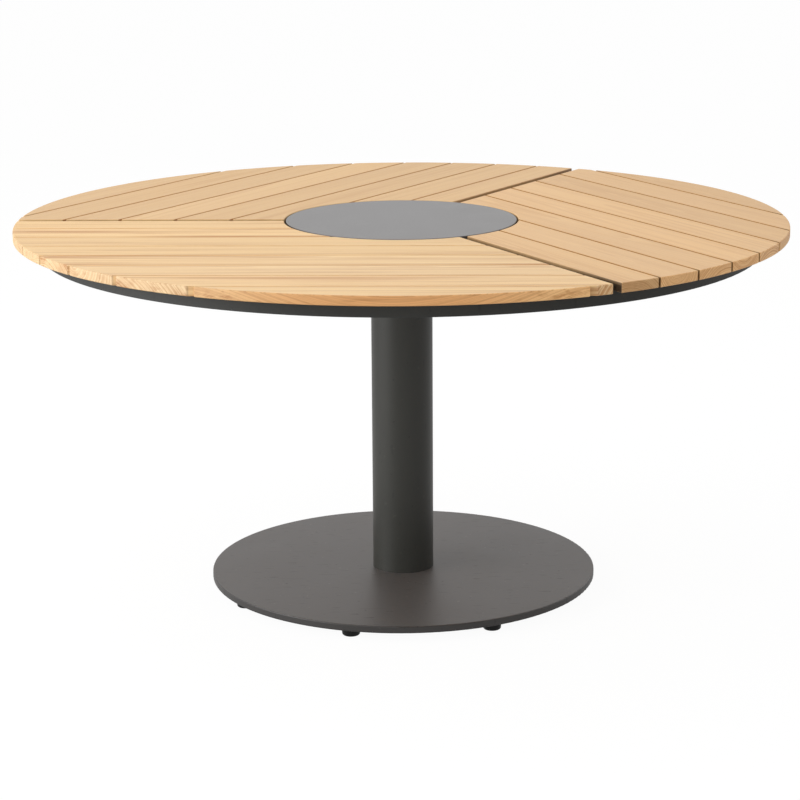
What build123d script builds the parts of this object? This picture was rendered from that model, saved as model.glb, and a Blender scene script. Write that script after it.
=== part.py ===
from build123d import *
import os
from math import cos, hypot, radians, sin, sqrt, tan

# Round outdoor dining table: a teak top laid as a three-bladed pinwheel round a flush
# turntable, on a channel frame, a column and a heavy base plate with levelling feet.
# Millimetres, +Z up, origin on the floor under the axis of the column.
# Each sector of the top is drawn with its own seam along +X and is then turned about Z.

# Driving dimensions: overall
TABLE_HEIGHT = 736.0
TOP_DIAMETER = 1500.0

# Driving dimensions: teak top
SECTOR_COUNT = 3
FIRST_SEAM_ANGLE = 60.0
PLANK_WIDTH = 91.5
FIRST_PLANK_WIDTH = 81.5
PLANK_GAP = 3.0
PLANK_THICKNESS = 18.0
SEAM_GAP = 16.0
PLANK_BEARING = 20.0
PLANK_ARRIS_RADIUS = 2.0
PLANK_CORNER_EXTRA = 0.3

# Driving dimensions: frame under the planks
FRAME_HEIGHT = 30.0
FRAME_WALL = 3.0
RING_SETBACK = 51.0
RING_WIDTH = 40.0
FRAME_EDGE_RADIUS = 1.2
SEAM_ARM_WIDTH = 60.0
MID_ARM_WIDTH = 40.0
HUB_THICKNESS = 6.0
HUB_SEAT_WIDTH = 40.0
ARM_TO_FLANGE_GAP = 15.0
WELD_GAP = 0.3

# Driving dimensions: screws that hold the planks down from below
SCREW_DIAMETER = 4.5
SCREW_LENGTH = 16.0
SCREW_HEAD_DIAMETER = 9.0
SCREW_HEAD_HEIGHT = 3.0
SCREW_EDGE_DISTANCE = 12.0
SEAM_ARM_SCREWS = 2
PILOT_CLEARANCE = 0.1
PILOT_EXTRA_DEPTH = 1.0
COUNTERSINK_ANGLE = 90.0

# Driving dimensions: turntable and its bearing
DISC_DIAMETER = 450.0
DISC_GAP = 3.5
DISC_THICKNESS = 10.0
DISC_EDGE_RADIUS = 1.0
BALL_CIRCLE_DIAMETER = 280.0
BALL_DIAMETER = 5.0
BALL_COUNT = 12
BALL_CLEARANCE = 0.15
RACE_WIDTH = 40.0
RACE_GAP = 2.0
CAGE_WIDTH = 12.0
CAGE_CLEARANCE = 0.4
POCKET_CLEARANCE = 0.2
RACE_SCREW_DIAMETER = 5.0
RACE_SCREW_HEAD_DIAMETER = 9.6
RACE_SCREW_COUNT = 6
RACE_SCREW_EDGE_DISTANCE = 7.0
RACE_SCREW_GRIP = 5.0
SPINDLE_DIAMETER = 20.0
SPINDLE_FLANGE_DIAMETER = 60.0
SPINDLE_FLANGE_THICKNESS = 4.0
SPINDLE_END_LENGTH = 3.0
RUNNING_CLEARANCE = 0.1
BUSH_WALL = 4.0
BUSH_COLLAR_WIDTH = 5.0
BUSH_COLLAR_THICKNESS = 2.0
BUSH_DROP = 2.0
CLIP_THICKNESS = 1.5
CLIP_WIDTH = 4.0
CLIP_GROOVE_DEPTH = 1.2
CLIP_MOUTH_ANGLE = 70.0
CLIP_CLEARANCE = 0.15

# Driving dimensions: column and its fastenings
COLUMN_DIAMETER = 121.0
COLUMN_WALL = 4.0
HEAD_FLANGE_DIAMETER = 280.0
HEAD_FLANGE_THICKNESS = 8.0
HEAD_FLANGE_BORE = 48.0
HEAD_FLANGE_CHAMFER = 1.0
HEAD_BOLT_DIAMETER = 10.0
HEAD_BOLT_HEX_WIDTH = 16.0
HEAD_BOLT_HEAD_HEIGHT = 6.4
HEAD_BOLT_CIRCLE_DIAMETER = 205.0
HEAD_BOLT_COUNT = 6
HEAD_BOLT_FIRST_ANGLE = 30.0
HEAD_NUT_HEIGHT = 5.0
BOLT_CLEARANCE = 0.5
THREAD_CLEARANCE = 0.1
BOLT_END_LENGTH = 1.0
PLUG_THICKNESS = 16.0
PLUG_CLEARANCE = 0.2

# Driving dimensions: base plate, its bolts and the levelling feet
BASE_DIAMETER = 766.0
BASE_THICKNESS = 14.0
BASE_EDGE_RADIUS = 2.0
BASE_BOLT_DIAMETER = 12.0
BASE_BOLT_HEAD_DIAMETER = 24.0
BASE_BOLT_CIRCLE_DIAMETER = 70.0
BASE_BOLT_COUNT = 4
BASE_BOLT_FIRST_ANGLE = 45.0
BASE_BOLT_SOCKET_WIDTH = 8.0
BASE_BOLT_SOCKET_DEPTH = 4.0
FOOT_COUNT = 8
FOOT_FIRST_ANGLE = 30.0
FOOT_INSET = 32.0
FOOT_HEIGHT = 17.0
FOOT_DIAMETER = 37.0
FOOT_TAPER_ANGLE = 6.0
FOOT_EDGE_RADIUS = 4.5
STUD_DIAMETER = 10.0
STUD_LENGTH = 11.0
STUD_TIP_CHAMFER = 1.0
STUD_CLEARANCE = 0.1
STUD_HOLE_EXTRA_DEPTH = 0.5

# Heights of the stack, from the floor up
base_bottom = FOOT_HEIGHT
base_top = base_bottom + BASE_THICKNESS
frame_top = TABLE_HEIGHT - PLANK_THICKNESS
frame_bottom = frame_top - FRAME_HEIGHT
hub_bottom = frame_top - HUB_THICKNESS
flange_bottom = hub_bottom - HEAD_FLANGE_THICKNESS
disc_bottom = TABLE_HEIGHT - DISC_THICKNESS
race_thickness = (disc_bottom - frame_top - RACE_GAP) / 2
lower_race_top = frame_top + race_thickness
upper_race_bottom = disc_bottom - race_thickness
ball_height = (lower_race_top + upper_race_bottom) / 2

# Radii that neighbouring pieces share
top_radius = TOP_DIAMETER / 2
disc_radius = DISC_DIAMETER / 2
opening_radius = disc_radius + DISC_GAP
hub_radius = opening_radius + HUB_SEAT_WIDTH
hub_seat_radius = opening_radius + HUB_SEAT_WIDTH / 2
ring_outer_radius = top_radius - RING_SETBACK
ring_inner_radius = ring_outer_radius - RING_WIDTH
ring_middle_radius = ring_outer_radius - RING_WIDTH / 2
flange_radius = HEAD_FLANGE_DIAMETER / 2
arm_inner_radius = flange_radius + ARM_TO_FLANGE_GAP
column_radius = COLUMN_DIAMETER / 2
foot_circle_radius = BASE_DIAMETER / 2 - FOOT_INSET
plug_radius = column_radius - COLUMN_WALL - PLUG_CLEARANCE
ball_circle_radius = BALL_CIRCLE_DIAMETER / 2
groove_radius = BALL_DIAMETER / 2 + BALL_CLEARANCE
lower_screw_circle_radius = ball_circle_radius + RACE_WIDTH / 2 - RACE_SCREW_EDGE_DISTANCE
upper_screw_circle_radius = ball_circle_radius - RACE_WIDTH / 2 + RACE_SCREW_EDGE_DISTANCE
spindle_radius = SPINDLE_DIAMETER / 2
bush_bore_radius = spindle_radius + RUNNING_CLEARANCE
bush_radius = bush_bore_radius + BUSH_WALL
pilot_radius = SCREW_DIAMETER / 2 + PILOT_CLEARANCE
plank_corner_radius = PLANK_ARRIS_RADIUS + PLANK_CORNER_EXTRA
countersink_slope = tan(radians(COUNTERSINK_ANGLE / 2))

# Layout of the pinwheel
sector_angle = 360 / SECTOR_COUNT
seam_angles = [FIRST_SEAM_ANGLE + k * sector_angle for k in range(SECTOR_COUNT)]
mid_angles = [angle + sector_angle / 2 for angle in seam_angles]
sector_names = ["left", "front", "right"]
plank_pitch = PLANK_WIDTH + PLANK_GAP
first_plank_far = SEAM_GAP + FIRST_PLANK_WIDTH
second_plank_near = first_plank_far + PLANK_GAP
# A further plank is laid only where the ring still reaches far enough under it
plank_count = 2 + int((ring_outer_radius - PLANK_BEARING - second_plank_near) / plank_pitch)


def save(piece, label):
    """Label a finished piece and write it to its own file."""
    piece.part.label = label
    export_step(piece.part, f"parts/{label}.step")


def turned(point, angle):
    """A point of a sector's own drawing, turned about Z into its place."""
    x, y = point
    a = radians(angle)
    return (x * cos(a) - y * sin(a), x * sin(a) + y * cos(a))


def sector_plane(angle, height):
    """A level plane with its X along a sector's own seam."""
    return Plane.XY.offset(height).rotated((0, 0, angle))


def plank_edges(index):
    """The near and far edge of a plank, as distances from the line of its own seam.

    The seam's gap lies beside that line, so the first plank is narrower than the others.
    """
    if index == 0:
        return SEAM_GAP, first_plank_far
    near = second_plank_near + (index - 1) * plank_pitch
    if index == plank_count - 1:
        return near, top_radius
    return near, near + PLANK_WIDTH


def end_cut(distance):
    """X where a plank ends on the line of the sector's far seam, at a distance from its own."""
    return distance / tan(radians(sector_angle))


def screw_sites(index):
    """Screws of one plank, as lists of points over the ring, the arms and the hub.

    A plank has a screw wherever its line crosses a member of the frame.  The line is
    the plank's middle, or the middle of what bears on the ring in the outermost one.
    The first plank also follows the arm under its own seam.
    """
    near, far = plank_edges(index)
    bearing_radius = (max(near, ring_inner_radius) + ring_outer_radius) / 2
    line = (near + min(far, bearing_radius)) / 2
    half_turn = radians(sector_angle / 2)
    arm_start = hub_radius + SCREW_EDGE_DISTANCE
    arm_end = ring_inner_radius - SCREW_EDGE_DISTANCE
    cut_site = end_cut(line) + SCREW_EDGE_DISTANCE / sin(radians(sector_angle))

    ring_x = sqrt(bearing_radius**2 - line**2)
    ring_sites = [(x, line) for x in (ring_x, -ring_x) if x >= cut_site]
    arm_sites = [(line / tan(half_turn), line), (cut_site, line)]
    arm_sites = [(x, y) for x, y in arm_sites if arm_start <= hypot(x, y) <= arm_end]
    hub_sites = []
    if line < hub_seat_radius:
        hub_sites = [(sqrt(hub_seat_radius**2 - line**2), line)]
    if index == 0:
        step = (arm_end - arm_start) / (SEAM_ARM_SCREWS + 1)
        own_line = near + SCREW_EDGE_DISTANCE
        arm_sites = [(arm_start + k * step, own_line) for k in range(1, SEAM_ARM_SCREWS + 1)]
    return ring_sites, arm_sites, hub_sites


# Every screw site of the whole top, member by member
ring_screws = []
arm_screws = []
hub_screws = []
for seam_angle in seam_angles:
    for plank_index in range(plank_count):
        on_ring, on_arms, on_hub = screw_sites(plank_index)
        ring_screws += [turned(site, seam_angle) for site in on_ring]
        arm_screws += [turned(site, seam_angle) for site in on_arms]
        hub_screws += [turned(site, seam_angle) for site in on_hub]


def make_plank(label, angle, index):
    """One teak plank, cut by the rim, the turntable opening and the far seam.

    Where the opening parts a plank, what lies beyond it is a piece of its own.
    """
    near, far = plank_edges(index)
    on_ring, on_arms, on_hub = screw_sites(index)
    with BuildSketch(sector_plane(angle, frame_top)) as outline:
        Circle(top_radius)
        Circle(opening_radius, mode=Mode.SUBTRACT)
        with BuildLine():
            Polyline(
                (end_cut(near), near),
                (TOP_DIAMETER, near),
                (TOP_DIAMETER, far),
                (end_cut(far), far),
                close=True,
            )
        make_face(mode=Mode.INTERSECT)
        fillet(outline.vertices(), plank_corner_radius)
    pieces = outline.sketch.faces().sort_by(SortBy.AREA, reverse=True)
    for piece, suffix in zip(pieces, ("", "_beyond")):
        with BuildPart() as plank:
            extrude(piece, amount=PLANK_THICKNESS, dir=(0, 0, 1))
            fillet(plank.faces().filter_by(Axis.Z).edges(), PLANK_ARRIS_RADIUS)
            for sites, wall in ((on_ring + on_arms, FRAME_WALL), (on_hub, HUB_THICKNESS)):
                if sites:
                    with BuildSketch(sector_plane(angle, frame_top)):
                        with Locations(*sites):
                            Circle(pilot_radius)
                    extrude(amount=SCREW_LENGTH - wall + PILOT_EXTRA_DEPTH, mode=Mode.SUBTRACT)
        save(plank, label + suffix)


def make_arm(label, angle, width, shift=0.0):
    """One radial channel, open below, whose walls run on under the hub plate.

    The shift moves it aside from the radial line, towards the angle's own sector.
    """
    outward = Vector(cos(radians(angle)), sin(radians(angle)), 0)
    across = Vector(-sin(radians(angle)), cos(radians(angle)), 0)
    start = outward * arm_inner_radius + across * shift + Vector(0, 0, frame_bottom)
    reach = sqrt((ring_inner_radius - WELD_GAP) ** 2 - (width / 2 + shift) ** 2)
    own_screws = []
    for x, y in arm_screws:
        along = x * outward.X + y * outward.Y
        aside = x * across.X + y * across.Y
        if along > 0 and abs(aside - shift) < width / 2:
            own_screws.append((x, y, frame_top))
    with BuildPart() as arm:
        with BuildSketch(Plane(origin=start, x_dir=across, z_dir=outward)) as section:
            lower_edge = (Align.CENTER, Align.MIN)
            Rectangle(width, FRAME_HEIGHT, align=lower_edge)
            fillet(section.vertices(), FRAME_EDGE_RADIUS)
            Rectangle(
                width - 2 * FRAME_WALL, FRAME_HEIGHT - FRAME_WALL, align=lower_edge, mode=Mode.SUBTRACT
            )
        extrude(amount=reach - arm_inner_radius)
        with BuildSketch(Plane.XY.offset(hub_bottom)):
            Circle(hub_radius + WELD_GAP)
        extrude(amount=HUB_THICKNESS, mode=Mode.SUBTRACT)
        with Locations(*own_screws):
            Hole(pilot_radius, FRAME_WALL)
    save(arm, label)


def make_foot(label, angle):
    """One levelling foot: a rounded pad and the stud that screws up into the base plate."""
    site = turned((foot_circle_radius, 0), angle)
    with BuildPart() as foot:
        with BuildSketch(Plane.XY.offset(base_bottom)):
            with Locations(site):
                Circle(FOOT_DIAMETER / 2)
        extrude(amount=-FOOT_HEIGHT, taper=FOOT_TAPER_ANGLE)
        fillet(foot.faces().sort_by(Axis.Z)[0].edges(), FOOT_EDGE_RADIUS)
        with BuildSketch(Plane.XY.offset(base_bottom)):
            with Locations(site):
                Circle(STUD_DIAMETER / 2)
        extrude(amount=STUD_LENGTH)
        chamfer(foot.faces().sort_by(Axis.Z)[-1].edges(), STUD_TIP_CHAMFER)
    save(foot, label)


def make_race(label, bottom, screw_plane, screw_circle_radius):
    """One flat bearing race with its ball groove and countersunk screw holes."""
    with BuildPart() as race:
        with BuildSketch(Plane.XY.offset(bottom)):
            Circle(ball_circle_radius + RACE_WIDTH / 2)
            Circle(ball_circle_radius - RACE_WIDTH / 2, mode=Mode.SUBTRACT)
        extrude(amount=race_thickness)
        with BuildSketch(Plane.XZ):
            with Locations((ball_circle_radius, ball_height)):
                Circle(groove_radius)
        revolve(axis=Axis.Z, mode=Mode.SUBTRACT)
        with Locations(screw_plane):
            with PolarLocations(screw_circle_radius, RACE_SCREW_COUNT):
                CounterSinkHole(
                    RACE_SCREW_DIAMETER / 2 + THREAD_CLEARANCE,
                    RACE_SCREW_HEAD_DIAMETER / 2,
                    counter_sink_angle=COUNTERSINK_ANGLE,
                )
    save(race, label)


def make_race_screws(label, screw_plane, screw_circle_radius):
    """Countersunk screws of one race, with their heads flush in its face."""
    head_radius = RACE_SCREW_HEAD_DIAMETER / 2
    shank_radius = RACE_SCREW_DIAMETER / 2
    tip = -(race_thickness + RACE_SCREW_GRIP)
    with BuildPart() as race_screws:
        with Locations(screw_plane):
            with PolarLocations(screw_circle_radius, RACE_SCREW_COUNT):
                Cone(
                    shank_radius,
                    head_radius,
                    (head_radius - shank_radius) / countersink_slope,
                    align=(Align.CENTER, Align.CENTER, Align.MAX),
                )
                Cylinder(shank_radius, -tip, align=(Align.CENTER, Align.CENTER, Align.MAX))
    save(race_screws, label)


os.makedirs("parts", exist_ok=True)

# Teak planks
for sector_name, seam_angle in zip(sector_names, seam_angles):
    for plank_index in range(plank_count):
        make_plank(f"{sector_name}_plank_{plank_index + 1}", seam_angle, plank_index)

# Rolled channel ring that the plank ends rest on
with BuildPart() as rim_ring:
    with BuildSketch(Plane.XZ) as ring_section:
        with Locations((ring_middle_radius, frame_bottom)):
            Rectangle(RING_WIDTH, FRAME_HEIGHT, align=(Align.CENTER, Align.MIN))
        fillet(ring_section.vertices(), FRAME_EDGE_RADIUS)
        with Locations((ring_middle_radius, frame_bottom)):
            Rectangle(
                RING_WIDTH - 2 * FRAME_WALL,
                FRAME_HEIGHT - FRAME_WALL,
                align=(Align.CENTER, Align.MIN),
                mode=Mode.SUBTRACT,
            )
    revolve(axis=Axis.Z)
    with Locations(*[(x, y, frame_top) for x, y in ring_screws]):
        Hole(pilot_radius, FRAME_WALL)
save(rim_ring, "rim_ring")

# Radial arms: one under the gap of each seam, one between each pair of seams
for arm_index, (seam_angle, mid_angle) in enumerate(zip(seam_angles, mid_angles), start=1):
    make_arm(f"seam_arm_{arm_index}", seam_angle, SEAM_ARM_WIDTH, SEAM_GAP / 2)
    make_arm(f"mid_arm_{arm_index}", mid_angle, MID_ARM_WIDTH)

# Hub plate that joins the arms and carries the inner plank ends and the turntable
with BuildPart() as hub_plate:
    with BuildSketch(Plane.XY.offset(hub_bottom)):
        Circle(hub_radius)
        Circle(bush_radius + PILOT_CLEARANCE, mode=Mode.SUBTRACT)
        with PolarLocations(HEAD_BOLT_CIRCLE_DIAMETER / 2, HEAD_BOLT_COUNT, HEAD_BOLT_FIRST_ANGLE):
            Circle((HEAD_BOLT_DIAMETER + BOLT_CLEARANCE) / 2, mode=Mode.SUBTRACT)
        with PolarLocations(lower_screw_circle_radius, RACE_SCREW_COUNT):
            Circle(RACE_SCREW_DIAMETER / 2 + THREAD_CLEARANCE, mode=Mode.SUBTRACT)
        with Locations(*hub_screws):
            Circle(pilot_radius, mode=Mode.SUBTRACT)
    extrude(amount=HUB_THICKNESS)
save(hub_plate, "hub_plate")

# Wood screws, driven up through the frame into the planks
with BuildPart() as plank_screws:
    for sites, wall in ((ring_screws + arm_screws, FRAME_WALL), (hub_screws, HUB_THICKNESS)):
        with BuildSketch(Plane.XY.offset(frame_top - wall)):
            with Locations(*sites):
                Circle(SCREW_HEAD_DIAMETER / 2)
        extrude(amount=-SCREW_HEAD_HEIGHT)
        with BuildSketch(Plane.XY.offset(frame_top - wall)):
            with Locations(*sites):
                Circle(SCREW_DIAMETER / 2)
        extrude(amount=SCREW_LENGTH)
save(plank_screws, "plank_screws")

# Column: tube, head flange under the hub plate and plug in the foot of the tube
with BuildPart() as column_tube:
    with BuildSketch(Plane.XY.offset(base_top)):
        Circle(column_radius)
        Circle(column_radius - COLUMN_WALL, mode=Mode.SUBTRACT)
    extrude(amount=flange_bottom - base_top)
save(column_tube, "column_tube")

with BuildPart() as column_head_flange:
    with BuildSketch(Plane.XY.offset(flange_bottom)):
        Circle(flange_radius)
        Circle(HEAD_FLANGE_BORE / 2, mode=Mode.SUBTRACT)
        with PolarLocations(HEAD_BOLT_CIRCLE_DIAMETER / 2, HEAD_BOLT_COUNT, HEAD_BOLT_FIRST_ANGLE):
            Circle((HEAD_BOLT_DIAMETER + BOLT_CLEARANCE) / 2, mode=Mode.SUBTRACT)
    extrude(amount=HEAD_FLANGE_THICKNESS)
    outer_edges = column_head_flange.edges().filter_by(GeomType.CIRCLE).sort_by(SortBy.RADIUS)[-2:]
    chamfer(outer_edges.sort_by(Axis.Z)[0], HEAD_FLANGE_CHAMFER)
save(column_head_flange, "column_head_flange")

with BuildPart() as column_foot_plug:
    with BuildSketch(Plane.XY.offset(base_top)):
        Circle(plug_radius)
        with PolarLocations(BASE_BOLT_CIRCLE_DIAMETER / 2, BASE_BOLT_COUNT, BASE_BOLT_FIRST_ANGLE):
            Circle(BASE_BOLT_DIAMETER / 2 + THREAD_CLEARANCE, mode=Mode.SUBTRACT)
    extrude(amount=PLUG_THICKNESS)
save(column_foot_plug, "column_foot_plug")

# Hexagon bolts up through the flange and hub plate, with thin nuts above
bolt_grip = HEAD_FLANGE_THICKNESS + HUB_THICKNESS
with BuildPart() as head_bolts:
    with BuildSketch(Plane.XY.offset(flange_bottom)):
        with PolarLocations(HEAD_BOLT_CIRCLE_DIAMETER / 2, HEAD_BOLT_COUNT, HEAD_BOLT_FIRST_ANGLE):
            RegularPolygon(HEAD_BOLT_HEX_WIDTH / 2, 6, major_radius=False)
    extrude(amount=-HEAD_BOLT_HEAD_HEIGHT)
    with BuildSketch(Plane.XY.offset(flange_bottom)):
        with PolarLocations(HEAD_BOLT_CIRCLE_DIAMETER / 2, HEAD_BOLT_COUNT, HEAD_BOLT_FIRST_ANGLE):
            Circle(HEAD_BOLT_DIAMETER / 2)
    extrude(amount=bolt_grip + HEAD_NUT_HEIGHT + BOLT_END_LENGTH)
save(head_bolts, "head_bolts")

with BuildPart() as head_nuts:
    with BuildSketch(Plane.XY.offset(frame_top)):
        with PolarLocations(HEAD_BOLT_CIRCLE_DIAMETER / 2, HEAD_BOLT_COUNT, HEAD_BOLT_FIRST_ANGLE):
            RegularPolygon(HEAD_BOLT_HEX_WIDTH / 2, 6, major_radius=False)
            Circle(HEAD_BOLT_DIAMETER / 2 + THREAD_CLEARANCE, mode=Mode.SUBTRACT)
    extrude(amount=HEAD_NUT_HEIGHT)
save(head_nuts, "head_nuts")

# Base plate with countersunk bolt holes and blind stud holes, all from below
base_underside = Plane(origin=(0, 0, base_bottom), x_dir=(1, 0, 0), z_dir=(0, 0, -1))
with BuildPart() as base_plate:
    with BuildSketch(Plane.XY.offset(base_bottom)):
        Circle(BASE_DIAMETER / 2)
    extrude(amount=BASE_THICKNESS)
    fillet(base_plate.edges(), BASE_EDGE_RADIUS)
    with BuildSketch(Plane.XY.offset(base_bottom)):
        with PolarLocations(foot_circle_radius, FOOT_COUNT, FOOT_FIRST_ANGLE):
            Circle(STUD_DIAMETER / 2 + STUD_CLEARANCE)
    extrude(amount=STUD_LENGTH + STUD_HOLE_EXTRA_DEPTH, mode=Mode.SUBTRACT)
    with Locations(base_underside):
        with PolarLocations(BASE_BOLT_CIRCLE_DIAMETER / 2, BASE_BOLT_COUNT, BASE_BOLT_FIRST_ANGLE):
            CounterSinkHole(
                (BASE_BOLT_DIAMETER + BOLT_CLEARANCE) / 2,
                BASE_BOLT_HEAD_DIAMETER / 2,
                counter_sink_angle=COUNTERSINK_ANGLE,
            )
save(base_plate, "base_plate")

# Countersunk socket bolts up into the plug of the column
base_bolt_length = BASE_THICKNESS + PLUG_THICKNESS - BOLT_END_LENGTH
with BuildPart() as base_bolts:
    with Locations(base_underside):
        with PolarLocations(BASE_BOLT_CIRCLE_DIAMETER / 2, BASE_BOLT_COUNT, BASE_BOLT_FIRST_ANGLE):
            Cone(
                BASE_BOLT_DIAMETER / 2,
                BASE_BOLT_HEAD_DIAMETER / 2,
                (BASE_BOLT_HEAD_DIAMETER - BASE_BOLT_DIAMETER) / 2 / countersink_slope,
                align=(Align.CENTER, Align.CENTER, Align.MAX),
            )
            Cylinder(
                BASE_BOLT_DIAMETER / 2,
                base_bolt_length,
                align=(Align.CENTER, Align.CENTER, Align.MAX),
            )
    with BuildSketch(base_underside):
        with PolarLocations(BASE_BOLT_CIRCLE_DIAMETER / 2, BASE_BOLT_COUNT, BASE_BOLT_FIRST_ANGLE):
            RegularPolygon(BASE_BOLT_SOCKET_WIDTH / 2, 6, major_radius=False)
    extrude(amount=-BASE_BOLT_SOCKET_DEPTH, mode=Mode.SUBTRACT)
save(base_bolts, "base_bolts")

# Levelling feet
for foot_index in range(FOOT_COUNT):
    foot_angle = FOOT_FIRST_ANGLE + foot_index * 360 / FOOT_COUNT
    make_foot(f"levelling_foot_{foot_index + 1}", foot_angle)

# Turntable disc, flush with the planks
with BuildPart() as turntable_disc:
    with BuildSketch(Plane.XY.offset(disc_bottom)):
        Circle(disc_radius)
    extrude(amount=DISC_THICKNESS)
    fillet(turntable_disc.edges(), DISC_EDGE_RADIUS)
    with BuildSketch(Plane.XY.offset(disc_bottom)):
        with PolarLocations(upper_screw_circle_radius, RACE_SCREW_COUNT):
            Circle(RACE_SCREW_DIAMETER / 2 + THREAD_CLEARANCE)
    extrude(amount=RACE_SCREW_GRIP + PILOT_EXTRA_DEPTH, mode=Mode.SUBTRACT)
save(turntable_disc, "turntable_disc")

# Ball bearing: lower race on the hub plate, upper race under the disc, caged balls between
lower_race_face = Plane.XY.offset(lower_race_top)
upper_race_face = Plane(origin=(0, 0, upper_race_bottom), x_dir=(1, 0, 0), z_dir=(0, 0, -1))
make_race("lower_race", frame_top, lower_race_face, lower_screw_circle_radius)
make_race("upper_race", upper_race_bottom, upper_race_face, upper_screw_circle_radius)
make_race_screws("lower_race_screws", lower_race_face, lower_screw_circle_radius)
make_race_screws("upper_race_screws", upper_race_face, upper_screw_circle_radius)

with BuildPart() as bearing_balls:
    with Locations((0, 0, ball_height)):
        with PolarLocations(ball_circle_radius, BALL_COUNT):
            Sphere(BALL_DIAMETER / 2)
save(bearing_balls, "bearing_balls")

cage_thickness = RACE_GAP - 2 * CAGE_CLEARANCE
with BuildPart() as ball_cage:
    with BuildSketch(Plane.XY.offset(ball_height - cage_thickness / 2)):
        Circle(ball_circle_radius + CAGE_WIDTH / 2)
        Circle(ball_circle_radius - CAGE_WIDTH / 2, mode=Mode.SUBTRACT)
        with PolarLocations(ball_circle_radius, BALL_COUNT):
            Circle(BALL_DIAMETER / 2 + POCKET_CLEARANCE, mode=Mode.SUBTRACT)
    extrude(amount=cage_thickness)
save(ball_cage, "ball_cage")

# Centre spindle of the disc, its bush in the hub plate and the clip that keeps it down
bush_bottom = hub_bottom - BUSH_DROP
clip_top = bush_bottom - CLIP_CLEARANCE
clip_bottom = clip_top - CLIP_THICKNESS
groove_top = clip_top + CLIP_CLEARANCE / 2
groove_bottom = clip_bottom - CLIP_CLEARANCE / 2
clip_bore_radius = spindle_radius - CLIP_GROOVE_DEPTH + CLIP_CLEARANCE
with BuildPart() as turntable_spindle:
    with BuildSketch(Plane.XY.offset(disc_bottom)):
        Circle(SPINDLE_FLANGE_DIAMETER / 2)
    extrude(amount=-SPINDLE_FLANGE_THICKNESS)
    with BuildSketch(Plane.XY.offset(groove_bottom - SPINDLE_END_LENGTH)):
        Circle(spindle_radius)
    extrude(amount=disc_bottom - groove_bottom + SPINDLE_END_LENGTH)
    with BuildSketch(Plane.XY.offset(groove_bottom)):
        Circle(SPINDLE_FLANGE_DIAMETER / 2)
        Circle(spindle_radius - CLIP_GROOVE_DEPTH, mode=Mode.SUBTRACT)
    extrude(amount=groove_top - groove_bottom, mode=Mode.SUBTRACT)
save(turntable_spindle, "turntable_spindle")

with BuildPart() as spindle_bush:
    with BuildSketch(Plane.XY.offset(bush_bottom)):
        Circle(bush_radius)
    extrude(amount=frame_top - bush_bottom)
    with BuildSketch(Plane.XY.offset(frame_top)):
        Circle(bush_radius + BUSH_COLLAR_WIDTH)
    extrude(amount=BUSH_COLLAR_THICKNESS)
    with Locations((0, 0, frame_top + BUSH_COLLAR_THICKNESS)):
        Hole(bush_bore_radius)
save(spindle_bush, "spindle_bush")

mouth_half_angle = radians(CLIP_MOUTH_ANGLE / 2)
clip_outer_radius = clip_bore_radius + CLIP_WIDTH
with BuildPart() as spindle_clip:
    with BuildSketch(Plane.XY.offset(clip_bottom)):
        Circle(clip_outer_radius)
        Circle(clip_bore_radius, mode=Mode.SUBTRACT)
        with BuildLine():
            mouth_depth = 2 * clip_outer_radius
            mouth_rise = mouth_depth * tan(mouth_half_angle)
            Polyline((0, 0), (mouth_depth, -mouth_rise), (mouth_depth, mouth_rise), close=True)
        make_face(mode=Mode.SUBTRACT)
    extrude(amount=CLIP_THICKNESS)
save(spindle_clip, "spindle_clip")
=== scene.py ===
"""Looks of a round teak dining table: finishes, small hardware, studio light and camera.

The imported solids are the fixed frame.  This script dresses them, stands finer meshes in for the
screws, bolts and feet, adds the weld beads of the frame, and sets up the studio.
"""

import logging
import math
from dataclasses import dataclass, field
from enum import Enum
from typing import Callable, Iterable, Sequence

import bmesh
import bpy
import numpy as np
from mathutils import Matrix, Vector


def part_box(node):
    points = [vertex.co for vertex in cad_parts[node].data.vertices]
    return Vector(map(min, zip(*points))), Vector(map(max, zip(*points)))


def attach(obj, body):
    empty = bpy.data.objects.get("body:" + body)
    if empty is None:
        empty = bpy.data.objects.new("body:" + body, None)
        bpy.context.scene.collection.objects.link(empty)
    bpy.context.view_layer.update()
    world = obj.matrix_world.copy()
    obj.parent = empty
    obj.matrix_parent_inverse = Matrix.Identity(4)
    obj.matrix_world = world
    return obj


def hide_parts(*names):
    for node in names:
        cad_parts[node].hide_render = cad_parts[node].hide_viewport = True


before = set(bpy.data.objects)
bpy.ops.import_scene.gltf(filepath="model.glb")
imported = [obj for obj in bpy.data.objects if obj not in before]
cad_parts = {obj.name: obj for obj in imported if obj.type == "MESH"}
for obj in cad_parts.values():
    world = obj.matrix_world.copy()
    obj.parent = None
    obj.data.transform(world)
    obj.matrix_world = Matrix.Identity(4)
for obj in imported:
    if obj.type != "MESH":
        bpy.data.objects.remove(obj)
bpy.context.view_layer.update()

log = logging.getLogger("table")

Colour = tuple[float, float, float]
Triple = tuple[float, float, float]
Span = tuple[float, float]

UP = np.array([0.0, 0.0, 1.0])
WHITE = (1.0, 1.0, 1.0, 1.0)

# Fillet welds: length of a ripple, how much it swells the weld, and length of the taper in legs
RIPPLE = 0.0035
SWELL = 0.09
TAPER = 1.5


def linear(red: int, green: int, blue: int) -> Colour:
    """Scene-linear colour of an 8-bit screen colour.

    Args:
        red: Red, from 0 to 255.
        green: Green, from 0 to 255.
        blue: Blue, from 0 to 255.

    Returns:
        The three linear values.
    """
    screen = np.array([red, green, blue]) / 255.0
    curve = np.where(screen <= 0.04045, screen / 12.92, ((screen + 0.055) / 1.055) ** 2.4)
    return tuple(float(value) for value in curve)


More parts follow.
